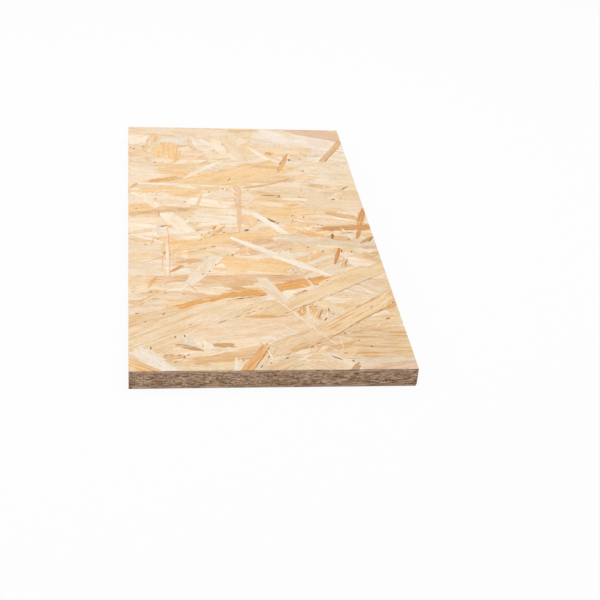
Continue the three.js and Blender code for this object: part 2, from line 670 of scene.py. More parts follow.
def noiseAt(vector, detail=2.0, rough=0.55):
    inputs = {"Vector": vector, "Scale": 1.0, "Detail": detail, "Roughness": rough}
    return addNode(treeOf(vector), "ShaderNodeTexNoise", inputs, noise_dimensions="3D").outputs["Fac"]


def remap(value, fromPair, toPair=(0.0, 1.0), steps="SMOOTHSTEP"):
    names = ("Value", "From Min", "From Max", "To Min", "To Max")
    inputs = dict(zip(names, (value, *fromPair, *toPair)))
    node = addNode(treeOf(value), "ShaderNodeMapRange", inputs, clamp=True, interpolation_type=steps)
    return node.outputs["Result"]


def mixColours(share, first, second, blend="MIX"):
    tree = treeOf(share, first)
    inputs = {0: share, 6: first, 7: second}
    return addNode(tree, "ShaderNodeMix", inputs, data_type="RGBA", blend_type=blend).outputs[2]


def tinted(colour, tint):
    return mixColours(1.0, colour, tint, "MULTIPLY")


plainWood = (0.8, 0.6, 0.4, 1)
grainTints = {"warm": (0.98, 0.87, 0.68, 1), "line": (0.88, 0.66, 0.42, 1), "light": (1.06, 1.09, 1.14, 1)}


def buildWoodGrain():
    tree, given, out = newTree(
        "woodGrain",
        "ShaderNodeTree",
        (
            ("Colour", "Color", plainWood),
            ("Place", "Vector", None),
            ("Figure", "Float", 0.4),
            ("Streak Width", "Float", 2.4),
            ("Streak Length", "Float", 60.0),
            ("Fibre", "Float", 0.1),
            ("Warmth", "Float", 0.5),
            ("Flecks", "Float", 0.4),
        ),
        (("Colour", "Color"), ("Height", "Float")),
    )
    along, across, seed = splitVector(given["Place"])
    perWidth = calc("DIVIDE", 1000.0, given["Streak Width"])
    perLength = calc("DIVIDE", 1000.0, given["Streak Length"])

    def band(widthShare, lengthShare, seedShare):
        return joinVector(
            times(along, perLength, lengthShare), times(across, perWidth, widthShare), times(seed, seedShare)
        )

    streak = noiseAt(band(1.0, 1.0, 0.37), 3.0)
    fibre = noiseAt(band(3.0, 9.0, 0.61), 2.0, 0.6)
    drift = noiseAt(band(0.22, 1.2, 0.19), 3.0)
    lines = remap(streak, (0.53, 0.66))
    glow = remap(streak, (0.48, 0.3))
    flecks = remap(noiseAt(band(1.5, 7.0, 0.83)), (0.62, 0.74))

    warmShare = times(remap(drift, (0.46, 0.66)), given["Warmth"])
    colour = mixColours(warmShare, given["Colour"], tinted(given["Colour"], grainTints["warm"]))
    brownLine = tinted(colour, grainTints["line"])
    colour = mixColours(times(lines, given["Figure"]), colour, brownLine)
    colour = mixColours(times(flecks, given["Flecks"]), colour, brownLine)
    colour = mixColours(glow, colour, tinted(colour, grainTints["light"]))
    shade = add(1.0, times(minus(0.5, drift), 0.16))
    shade = minus(shade, times(minus(fibre, 0.5), given["Fibre"], 2.0))
    feed(out["Colour"], scaled(colour, shade))
    feed(out["Height"], add(times(fibre, 0.6), times(lines, -0.4)))
    return tree


# Painted shade: strand outlines and the walls between strands darken in broken dashes, for the shade in the
# hairline gaps there
def buildStrandBorderShade():
    tree, given, out = newTree(
        "strandBorderShade",
        "ShaderNodeTree",
        (
            ("Colour", "Color", plainWood),
            ("Edge", "Float", 0.0),
            ("Place", "Vector", None),
            ("Dash Length", "Float", 7.0),
            ("Border Strength", "Float", 0.6),
            ("Painted Shade Colour", "Color", (0.3, 0.155, 0.06, 1)),
        ),
        (("Colour", "Color"),),
    )
    place = scaled(given["Place"], calc("DIVIDE", 1000.0, given["Dash Length"]))
    dashes = remap(noiseAt(place), (0.44, 0.62), (0.12, 1.0))
    share = calc("MINIMUM", times(given["Edge"], dashes, given["Border Strength"]), 1.0)
    feed(out["Colour"], mixColours(share, given["Colour"], given["Painted Shade Colour"]))
    return tree


def buildToneDrift():
    tree, given, out = newTree(
        "toneDrift",
        "ShaderNodeTree",
        (
            ("Colour", "Color", plainWood),
            ("Place", "Vector", None),
            ("Patch Size", "Float", 60.0),
            ("Patch Amount", "Float", 0.1),
        ),
        (("Colour", "Color"),),
    )
    place = scaled(given["Place"], calc("DIVIDE", 1000.0, given["Patch Size"]))
    share = times(remap(noiseAt(place, 3.0), (0.42, 0.66)), given["Patch Amount"])
    darker = tinted(given["Colour"], (0.86, 0.8, 0.72, 1))
    feed(out["Colour"], mixColours(share, given["Colour"], darker))
    return tree


# The group's inputs are fed by name, from the sockets and from the finish
def placeGroup(group, tree, finish, **sockets):
    node = addNode(tree, "ShaderNodeGroup", node_tree=group)
    for socket in node.inputs:
        if socket.name in sockets or socket.name in finish:
            feed(socket, sockets.get(socket.name, finish.get(socket.name)))
    return node.outputs


def readAttribute(tree, name):
    return addNode(tree, "ShaderNodeAttribute", attribute_type="GEOMETRY", attribute_name=name).outputs


woodGrain, strandBorderShade, toneDrift = buildWoodGrain(), buildStrandBorderShade(), buildToneDrift()


def woodMaterial(name, finish):
    material = bpy.data.materials.new(name)
    material.use_nodes = True
    tree = material.node_tree
    place = addNode(tree, "ShaderNodeTexCoord").outputs["Object"]
    tone, figurePlace = readAttribute(tree, "strandTone"), readAttribute(tree, "grainPlace")["Vector"]
    grain = placeGroup(woodGrain, tree, finish, Colour=tone["Color"], Place=figurePlace, Figure=tone["Alpha"])
    drift = placeGroup(toneDrift, tree, finish, Colour=grain["Colour"], Place=place)
    edge = readAttribute(tree, "strandEdge")["Fac"]
    border = placeGroup(strandBorderShade, tree, finish, Colour=drift["Colour"], Place=place, Edge=edge)
    return material, place, border["Colour"], grain["Height"]


def finishShader(material, finish, colour, roughness, height):
    tree = material.node_tree
    shader = tree.nodes["Principled BSDF"]
    strength, distance = finish["bump"]
    bump = addNode(tree, "ShaderNodeBump", {"Strength": strength, "Distance": distance, "Height": height})
    shader.inputs["Specular IOR Level"].default_value = finish["specular"]
    feed(shader.inputs["Base Color"], colour)
    feed(shader.inputs["Roughness"], roughness)
    feed(shader.inputs["Normal"], bump.outputs[0])
    return material


faceFinish = {
    "Streak Width": 2.2,  # mm
    "Streak Length": 40.0,
    "Fibre": 0.26,
    "Warmth": 0.7,
    "Flecks": 0.75,
    # dashes of painted shade along the strands' outlines
    "Dash Length": 16.0,
    "Border Strength": 0.85,
    "Patch Size": 90.0,
    "Patch Amount": 0.25,
    "roughness": (0.7, 0.88),
    "specular": 0.3,
    "bump": (0.5, 0.00008),  # strength, and depth in metres
}


def strandFaceMaterial():
    material, _, colour, height = woodMaterial("pressedPineStrands", faceFinish)
    roughness = remap(height, (0.1, 0.6), faceFinish["roughness"], "LINEAR")
    return finishShader(material, faceFinish, colour, roughness, height)


edgeFinish = {
    "Streak Width": 1.1,  # mm
    "Streak Length": 3.5,
    "Fibre": 0.3,
    "Warmth": 0.3,
    "Flecks": 0.5,
    # dashes of painted shade on the walls between strand ends
    "Dash Length": 4.0,
    "Border Strength": 0.9,
    "Patch Size": 26.0,
    "Patch Amount": 0.5,
    "roughness": (0.84, 0.96),
    "specular": 0.2,
    "bump": (0.6, 0.0002),
    "coreDepth": (0.004, 0.0095),  # metres from the middle, and how much torn wood and painted void shade there is at each
    "coreShare": (1.0, 0.35),
    "clusters": ((70.0, 130.0), (0.4, 0.6), (0.3, 1.0)),  # cells a metre along and up, then from and to
    "marks": {  # cells a metre along and up, roughness of the noise, from, to and colour
        "blotches": ((210.0, 600.0), 0.55, (0.48, 0.64), (0.0, 0.7), (0.25, 0.15, 0.066, 1)),
        # specks: painted shade of small voids, which the bump presses in
        "specks": ((560.0, 950.0), 0.6, (0.54, 0.64), (0.0, 1.0), (0.085, 0.045, 0.02, 1)),
        "paleBits": ((430.0, 900.0), 0.6, (0.44, 0.34), (0.0, 0.45), (0.78, 0.6, 0.46, 1)),
    },
    "inCore": ("blotches", "specks"),
}


# Ochre blotches of torn wood, and dark specks that are painted shade in small voids, are drawn out along the
# edge and thickest in the core
def sawnEdgeMaterial():
    material, place, colour, height = woodMaterial("sawnStrandEnds", edgeFinish)
    x, y, z = splitVector(place)

    def drawnOut(perMetre, upPerMetre):
        return joinVector(times(x, perMetre), times(y, perMetre), times(z, upPerMetre))

    middle = calc("ABSOLUTE", minus(z, panel["thickness"] / 2000))
    core = remap(middle, edgeFinish["coreDepth"], edgeFinish["coreShare"], "LINEAR")
    cells, fromPair, toPair = edgeFinish["clusters"]
    clusters = remap(noiseAt(drawnOut(*cells)), fromPair, toPair)
    shares = {}
    for name, (cells, rough, fromPair, toPair, tint) in edgeFinish["marks"].items():
        share = remap(noiseAt(drawnOut(*cells), 2.0, rough), fromPair, toPair)
        shares[name] = times(share, core, clusters) if name in edgeFinish["inCore"] else share
        colour = mixColours(shares[name], colour, tint)
    roughness = remap(shares["specks"], (0.0, 1.0), edgeFinish["roughness"], "LINEAR")
    return finishShader(material, edgeFinish, colour, roughness, minus(height, shares["specks"]))


strandFace, sawnEdge = strandFaceMaterial(), sawnEdgeMaterial()
print("materials made")

# The two faces
faceMat = {
    "count": 700,
    "seed": 11,
    "laidSeed": 21,
    "spread": 24.0,  # degrees either side of the panel's width
    "overhang": (20, 15),  # mm past the panel's sides and ends
    "kinds": (  # share, length range, width range
        (0.42, (75, 150), (14, 32)),
        (0.32, (30, 90), (5, 14)),
        (0.26, (12, 50), (1.8, 5)),
    ),
    "toneShares": {
        "straw": 20, "sand": 26, "cream": 11, "pale": 20, "honey": 11, "blush": 10,
        "grey": 6, "amber": 3.5, "rose": 4, "rust": 1.2, "brown": 0.5,
    },
    "slimBelow": 6,  # mm: slim strands are pointed at both ends
    "pointedShare": 0.45,  # of the broader strands, pointed at one end
    "pointed": (0.0, 0.85),
    "blunt": (0, 0.2),
    "slimNear": (0.3, 0.8),
    "bluntNear": (0, 0.25),
    "mostBow": 0.03,  # of the length
    "wideFrom": 12,  # mm: broader strands are not of the strongest tones
    "wideTones": {"amber": "honey", "rust": "sand", "brown": "pale"},
    "deepCount": 90,  # a darker layer, seen only down the gaps: its darkness is painted shade
    "deepLevel": (0.7, 1.1),
    "deepPaintedShade": (0.46, 0.36, 0.27),
    "tornEnds": 0.75,
    "wavySides": 0.16,
}
evenSteps = ((0.7548776662, 0.31), (0.5698402910, 0.67))  # spread strands evenly, never in rows


def drawTone(draw, shares, width=0.0):
    tone = draw.choices(list(shares), weights=list(shares.values()))[0]
    return faceMat["wideTones"].get(tone, tone) if width > faceMat["wideFrom"] else tone


def evenPlace(i):
    reaches = [panel[side] / 2 + past for side, past in zip(("width", "length"), faceMat["overhang"])]
    return [reach * (2 * ((i * step + start) % 1) - 1) for reach, (step, start) in zip(reaches, evenSteps)]


def scatteredStrands(seed):
    draw = random.Random(seed)
    strands = []
    kinds, deep = faceMat["kinds"], faceMat["deepCount"]
    weights = [kind[0] for kind in kinds]
    for i in range(deep + faceMat["count"]):
        kind = kinds[0] if i < deep else draw.choices(kinds, weights=weights)[0]
        length, width = draw.uniform(*kind[1]), draw.uniform(*kind[2])
        turn = math.radians(draw.gauss(0, faceMat["spread"])) + (math.pi if draw.random() < 0.5 else 0)
        tone = drawTone(draw, faceMat["toneShares"], width)
        slim = width < faceMat["slimBelow"]
        isPointed = draw.random() < faceMat["pointedShare"] or slim
        taperFar = draw.uniform(*faceMat["pointed" if isPointed else "blunt"])
        taperNear = draw.uniform(*faceMat["slimNear" if slim else "bluntNear"])
        bow = draw.uniform(-1, 1) * length * faceMat["mostBow"]
        ends = {"taperFar": taperFar, "taperNear": taperNear, "bow": bow}
        strand = makeStrand(*evenPlace(i), length, width, turn, tone, draw, **ends)
        if i < deep:
            strand["level"] = -draw.uniform(*faceMat["deepLevel"])
            # the deep strands' tones are darkened: painted shade for the bottom of the gaps
            strand["tone"] = [part * share for part, share in zip(strand["tone"], faceMat["deepPaintedShade"])]
        strands.append(strand)
    return strands


laidStrands = (
    # from x, y to x, y and width in mm, tone, and how it is shaped: later ones lie on top
    # the back third
    (-145, 292, -5, 281, 26, "pale", "plain"),
    (-155, 288, -128, 282, 22, "blush", "torn"),
    (-136, 284, -104, 280, 9, "pale", "torn"),
    (-160, 258, -120, 256, 34, "cream", "plain"),
    (-88, 217, -34, 212, 15, "pale", "torn"),
    (-120, 258, -55, 253, 26, "mist", "plain"),
    (-102, 176, -97, 250, 40, "honey", "rounded lined faint clean"),
    (-80, 222, -62, 236, 12, "cream", "torn"),
    (-119, 196, -95, 190, 12, "cream", "torn"),
    (-56, 262, -40, 222, 30, "mist", "lens plain"),
    (-34, 266, -18, 206, 16, "pale", "lens plain"),
    (-14, 276, 6, 192, 24, "sand", "rounded plain"),
    (-112, 272, -127, 214, 16, "sand", "lined edged"),
    (-66, 263, -61, 218, 7, "blush", "edged lens"),
    (-125, 214, -123, 193, 8, "amber", "lens"),
    (-150, 228, -118, 200, 14, "sand", "torn"),
    (25, 236, 105, 229, 24, "sand", "plain"),
    (20, 262, 85, 250, 20, "mist", "torn"),
    (110, 225, 152, 232, 26, "mist", "plain"),
    (95, 200, 150, 206, 18, "mist", "plain"),
    (130, 212, 156, 208, 12, "grey", "plain"),
    (118, 195, 152, 190, 10, "grey", "plain"),
    (-45, 203, 4, 216, 16, "cream", "lens plain"),
    (80, 312, 156, 262, 38, "clay", "plain"),
    (28, 287, 142, 243, 36, "mist", "plain"),
    (105, 250, 160, 236, 12, "mist", "torn"),
    (118, 250, 92, 196, 8, "mist", "lens"),
    (14, 240, 49, 181, 8, "cream", "lens plain"),
    (36, 215, 50, 219, 11, "amber", "lens plain"),
    (41, 217, 46, 218, 5, "rust", "lens lined"),
    (149, 262, 114, 194, 9, "tan", "edged lined clean"),
    # the left of the middle back
    (-150, 172, -92, 150, 26, "pale", "plain"),
    (-152, 148, -104, 140, 20, "pale", "plain"),
    (-115, 160, -65, 157, 16, "honey", "torn lined"),
    (-112, 176, -50, 178, 7, "straw", "lens"),
    (-104, 167, -50, 173, 5, "honey", "point torn"),
    (-100, 96, 58, 182, 46, "honey", "plain edged"),
    (18, 176, 52, 174, 8, "tan", "torn"),
    (-60, 172, 2, 190, 13, "pale", "lens"),
    (-64, 189, -34, 194, 10, "cream", "torn"),
    (-78, 138, -22, 196, 10, "cream", "lens plain"),
    (-124, 127, -84, 141, 10, "amber", "torn lined"),
    (-146, 111, -138, 122, 5, "amber", "lens"),
    (-135, 108, -75, 112, 9, "honey", "torn"),
    (-138, 123, 4, 113, 6, "cream", "plain"),
    (-95, 122, -60, 108, 9, "cream", "point plain"),
    # the right of the middle back
    (105, 160, 156, 140, 34, "grey", "plain"),
    (60, 120, 128, 132, 20, "pale", "plain"),
    (88, 122, 112, 117, 10, "tan", "torn lined"),
    (10, 118, 78, 119, 20, "pale", "plain"),
    (0, 112, 64, 141, 5, "amber", "bowed torn"),
    (60, 166, 101, 149, 7, "cream", "lens plain"),
    (74, 172, 106, 202, 5, "sand", "lens"),
    (68, 217, 49, 158, 7, "amber", "lens edged"),
    (120, 105, 152, 100, 8, "straw", "torn edged"),
    (128, 108, 140, 122, 3, "rust", "lens"),
    # the middle
    (-150, 78, -72, 70, 28, "pale", "plain"),
    (-75, 75, -20, 62, 22, "cream", "plain"),
    (-50, 98, 8, 88, 15, "pale", "torn"),
    (-134, 99, -102, 103, 10, "honey", "torn"),
    (-143, 97, -113, 56, 12, "cream", "plain"),
    (-56, 92, -67, 49, 4, "straw", "lens"),
    (-68, 46, 8, 43, 16, "pale", "plain"),
    (-155, 36, -76, 49, 9, "tan", "torn lined edged"),
    (-150, 18, -85, 20, 20, "pale", "plain"),
    (-156, 8, -116, 2, 15, "cream", "plain"),
    (-105, 42, -66, -33, 20, "cream", "plain clean"),
    (-72, 30, -15, 22, 22, "cream", "plain"),
    (-64, 10, -36, 14, 9, "cream", "torn"),
    (-10, 121, -10, 60, 8.5, "rose", "edged torn"),
    (-42, 3, 14, 8, 12, "pale", "torn"),
    (-11, 62, -15, -9, 6, "rose", "point edged"),
    (10, 98, 70, 88, 12, "sand", "torn"),
    (70, 70, 150, 62, 34, "sand", "plain"),
    (14, 40, 78, 48, 26, "honey", "torn"),
    (-6, 68, 50, 65, 12, "pale", "torn"),
    (52, 62, 69, 68, 5, "amber", "lens"),
    (48, 82, 78, 80, 7, "cream", "torn plain"),
    (20, 91, 44, 91, 3, "brown", "lens"),
    (-5, 20, 10, 22, 28, "honey", "lined"),
    (50, 38, 152, 14, 6, "honey", "lens"),
    (44, 9, 82, 15, 12, "honey", "torn lined"),
    (98, 45, 140, 30, 12, "tan", "lens lined"),
    (60, 22, 118, 18, 14, "blush", "torn"),
    (34, -9, 64, -4, 9, "tan", "lined"),
    (-44, 9, -67, -32, 8, "honey", "lined edged"),
    (-32, 8, -53, -24, 5, "amber", "lined edged lens"),
    (92, 2, 158, 8, 12, "rust", "lined torn edged"),
    (84, -3, 110, 6, 4, "rust", "lens"),
    (150, 57, 138, 12, 6, "rust", "lined edged"),
    (145, 50, 134, 11, 3, "rust", "lens"),
    (137, 6, 127, -27, 5, "rust", "lens lined edged"),
    (113, 4, 126, -30, 4, "bone", "lens plain"),
    # the middle front, left
    (-155, -50, -108, -46, 30, "sand", "plain"),
    (-152, -92, -106, -88, 32, "pale", "plain"),
    (-158, -104, -112, -107, 16, "pale", "plain"),
    (-54, -46, -12, -61, 15, "blush", "torn"),
    (-62, -95, -30, -90, 12, "cream", "torn"),
    (-112, -50, 56, 0, 24, "honey", "edged"),
    (-114, -1, -84, -13, 14, "cream", "torn"),
    (-92, -21, -50, -5, 10, "pale", "torn"),
    (-92, -27, -62, -21, 9, "cream", "torn"),
    (-146, -9, -120, -4, 8, "sand", "torn"),
    (22, -23, 50, -23, 11, "pale", "torn"),
    (5, 43, 48, -22, 10, "bone", "plain clean"),
    (-150, -14, -106, -34, 6, "cream", "lens plain"),
    (-98, -63, -70, -58, 8, "honey", "torn"),
    (-105, 5, -105, -116, 3.6, "pale", "plain clean"),
    (-102.6, 2, -103.4, -115, 1, "tan", "plain"),
    (-107.5, -30, -111.5, -98, 1, "tan", "plain"),
    (-95, -82, -64, -76, 9, "amber", "lens torn"),
    (-88, -90, -104, -105, 5, "rust", "point"),
    (-50, -81, 44, -92, 32, "honey", "torn"),
    (-24, -63, -4, -45, 12, "rose", "torn"),
    (0, -45, 26, -40, 8, "pale", "torn"),
    # the middle front, right
    (40, -22, 152, -38, 22, "grey", "torn"),
    (92, -17, 120, -26, 11, "tan", "lens edged"),
    (131, -34, 153, -15, 6, "brown", "lens"),
    (134, -46, 156, -41, 7, "clay", "torn"),
    (132, -64, 156, -56, 9, "tan", "lined torn"),
    (98, -63, 121, -57, 8, "cream", "torn"),
    (74, -41, 108, -44, 8, "pale", "torn"),
    (58, -26, 88, -22, 8, "pale", "torn"),
    (70, -46, 98, -64, 10, "sand", "torn"),
    (100, -72, 146, -92, 22, "cream", "plain"),
    (48, -112, 104, -72, 40, "grey", "lined"),
    (128, -58, 152, -82, 5, "rose", "lens edged"),
    (103, -46, 92, -85, 4.8, "rust", "rounded torn lined edged"),
    (107, -72, 101, -92, 6, "tan", "torn edged lined"),
    (70, -47, 62, -77, 6, "blush", "lens"),
    (36, -73, 53, -117, 4, "blush", "lens edged"),
    (-28, -21, 90, -117, 13, "bone", "lens plain clean"),
    # in front of the middle
    (-135, -120, 45, -118, 18, "rose", "torn lined"),
    (-162, -126, -122, -122, 18, "straw", "torn"),
    (-128, -124, -100, -119, 14, "rose", "torn lined"),
    (-78, -134, -42, -132, 7, "sand", "torn lined"),
    (-112, -135, -82, -132, 7, "sand", "torn"),
    (-118, -113, -128, -139, 4, "amber", "lens"),
    (-46, -66, -92, -147, 16, "cream", "point clean"),
    (-130, -150, -85, -160, 18, "blush", "torn"),
    (-137, -153, -108, -148, 9, "straw", "torn lined"),
    (-110, -143, -140, -173, 5, "straw", "lens edged"),
    (-132, -171, -106, -165, 9, "pale", "torn"),
    (-80, -140, -40, -150, 14, "pale", "torn"),
    (-36, -133, -12, -147, 9, "amber", "bowed lined"),
    (-42, -134, -6, -129, 8, "tan", "torn"),
    (-166, -214, -94, -186, 26, "straw", "lined"),
    (-160, -188, -110, -181, 13, "pale", "torn"),
    (-160, -262, -20, -165, 40, "sand", "lined"),
    (-98, -180, -32, -151, 9, "copper", "torn lined"),
    (-44, -155, 4, -148, 11, "copper", "torn lined edged"),
    (-40, -169, -6, -162, 7, "honey", "torn"),
    (14, -141, 84, -117, 18, "copper", "torn lined"),
    (34, -157, 66, -143, 10, "tan", "torn"),
    (52, -112, 61, -135, 3, "cream", "lens plain"),
    (84, -125, 156, -160, 30, "grey", "lined"),
    (60, -160, 130, -166, 20, "pale", "torn lined"),
    (92, -173, 124, -164, 9, "straw", "lined"),
    (109, -129, 130, -155, 3.4, "bone", "lens plain"),
    (55, -165, 90, -195, 16, "straw", "torn"),
    (152, -172, 122, -190, 7, "amber", "torn lined"),
    (-80, -233, 44, -211, 34, "blush", "clean"),
    (-24, -199, 24, -198, 7, "amber", "lens"),
    (6, -192, 158, -84, 21, "straw", "edged plain clean"),
    (1, -115, 22, -170, 14, "pale", "plain clean"),
    (36, -196, 46, -179, 9, "copper", "torn lined"),
    (47, -176, 47, -212, 4, "cream", "lens plain"),
    (52, -173, 58, -206, 5, "amber", "edged plain"),
    (72, -180, 84, -190, 9, "grey", "torn"),
    # the front
    (88, -252, 160, -252, 64, "straw", "ringed"),
    (104, -208, 160, -203, 18, "straw", "lined"),
    (48, -198, 72, -242, 8, "blush", "plain"),
    (-1, -267, 97, -207, 27, "straw", "edged lined clean"),
    (62, -229, 158, -147, 22, "straw", "edged ringed clean"),
    (68, -245, 87, -252, 22, "straw", "plain"),
    (-7, -128, 72, -258, 3, "pale", "lens plain"),
    (8, -208, 32, -231, 2, "cream", "lens plain"),
    (-102, -252, -72, -264, 8, "brown", "lens"),
    (-64, -254, -40, -254, 7, "brown", "torn"),
    (-150, -270, -105, -252, 16, "straw", "torn"),
    (-76, -245, -59, -270, 13, "cream", "torn plain"),
    (-88, -283, -16, -271, 16, "tan", "torn lined"),
    (-92, -276, -55, -262, 8, "sand", "torn"),
    (-62, -292, -10, -290, 14, "straw", "torn"),
    (-124, -281, -94, -274, 8, "tan", "torn lined"),
    (-105, -290, -62, -296, 10, "sand", "torn"),
    (-133, -259, -114, -282, 8, "cream", "plain"),
    (-144, -261, -104, -306, 18, "mist", "plain clean"),
    (-158, -280, -118, -306, 14, "honey", "ringed"),
    (-36, -282, -40, -304, 10, "cream", "torn plain"),
    (38, -275, 84, -272, 13, "straw", "torn lined"),
    (54, -268, 92, -306, 13, "pale", "torn plain"),
    (58, -263, 86, -254, 9, "tan", "torn"),
    (20, -263, 52, -252, 9, "tan", "torn lined"),
    (80, -286, 158, -282, 12, "grey", "torn"),
    (92, -302, 158, -288, 12, "clay", "lined"),
    (-14, -304, 30, -278, 14, "straw", "torn edged"),
    (18, -304, 44, -286, 10, "straw", "torn edged"),
    (78, -304, 90, -290, 7, "brown", "torn"),
    (2, -258, -22, -306, 8, "sand", "edged plain"),
    (-6, -258, -34, -306, 11, "amber", "edged lined clean"),
    # over the rest
    (126, -225, 156, -224, 8, "straw", "lined"),
    (118, 92, 158, 88, 14, "straw", "plain"),
    (84, 138, 112, 138, 7, "pale", "plain"),
    (68, -133, 128, -91, 12, "straw", "plain"),
    (-80, -67, -50, -61, 12, "straw", "plain"),
)

wordShapes = {  # what a word gives in place of a draw
    "torn": {"torn": 1.6},
    "clean": {"torn": 0.15},
    "lined": {"figure": 0.85},
    "plain": {"figure": 0.12},
    # edged: a deeper rim, and the full painted shade along the outline
    "edged": {"border": 1.0, "rimDrop": 0.2},
    "point": {"taperFar": 0.9},
    "lens": {"taperFar": 0.75, "taperNear": 0.65},
    "bowed": {"bow": -0.05},
}
lateWords = {  # what a word gives after the draws
    "ringed": {"figure": 1.7},
    "faint": {"figure": 0.4},
    "rounded": {"taperFar": 0.55, "taperNear": 0.55},
}
laidRanges = {  # drawn in this order
    "slant": (-0.4, 0.4),
    "figure": (0.2, 0.5),
    # border: how much painted shade darkens the outline
    "border": (0.05, 0.35),
    "rimDrop": (0.05, 0.12),
    "taperFar": (0, 0.12),
    "taperNear": (0, 0.12),
    "bow": (-0.008, 0.008),  # of the length
}


def laidStrand(row, draw):
    fromX, fromY, toX, toY, width, tone, words = row
    length, turn = math.hypot(toX - fromX, toY - fromY), math.atan2(toY - fromY, toX - fromX)
    strand = makeStrand((fromX + toX) / 2, (fromY + toY) / 2, length, width, turn, tone, draw)
    given, late = {"torn": 0.5}, {}
    for word in words.split():
        given.update(wordShapes.get(word, {}))
        late.update(lateWords.get(word, {}))
    for name, ends in laidRanges.items():
        if name not in given:
            given[name] = draw.uniform(*ends)
    strand.update({**given, **late})
    strand["bow"] *= length
    return strand


splinters = {
    "count": 230,
    "seed": 41,
    "reach": (150, 300),  # mm either side of the middle
    "length": (7, 30),
    "width": (0.8, 2.8),
    "spread": 50.0,  # degrees
    "far": (0.4, 0.9),
    "near": (0.3, 0.8),
    "keepClear": (9.0, 45.0),  # mm: none lie on a laid strand broader and longer than this
    "toneShares": {
        "cream": 20, "pale": 20, "sand": 12, "straw": 12,
        "honey": 12, "blush": 5, "amber": 9, "tan": 6, "rose": 3, "rust": 2,
    },
}


def scatteredSplinters(laid):
    draw = random.Random(splinters["seed"])
    wide, long = splinters["keepClear"]
    broad = [s for s in laid if s["width"] > wide and s["length"] > long]
    reachX, reachY = splinters["reach"]
    found = []
    while len(found) < splinters["count"]:
        x, y = draw.uniform(-reachX, reachX), draw.uniform(-reachY, reachY)
        length, width = draw.uniform(*splinters["length"]), draw.uniform(*splinters["width"])
        turn = math.radians(draw.gauss(0, splinters["spread"]))
        tone = drawTone(draw, splinters["toneShares"])
        tapers = {"taperFar": draw.uniform(*splinters["far"]), "taperNear": draw.uniform(*splinters["near"])}
        places = [localPlace(s, x, y) for s in broad]
        hits = [abs(u) < s["length"] / 2 and abs(v) < s["width"] / 2 for s, (u, v) in zip(broad, places)]
        if not any(hits):
            found.append(makeStrand(x, y, length, width, turn, tone, draw, **tapers))
    return found


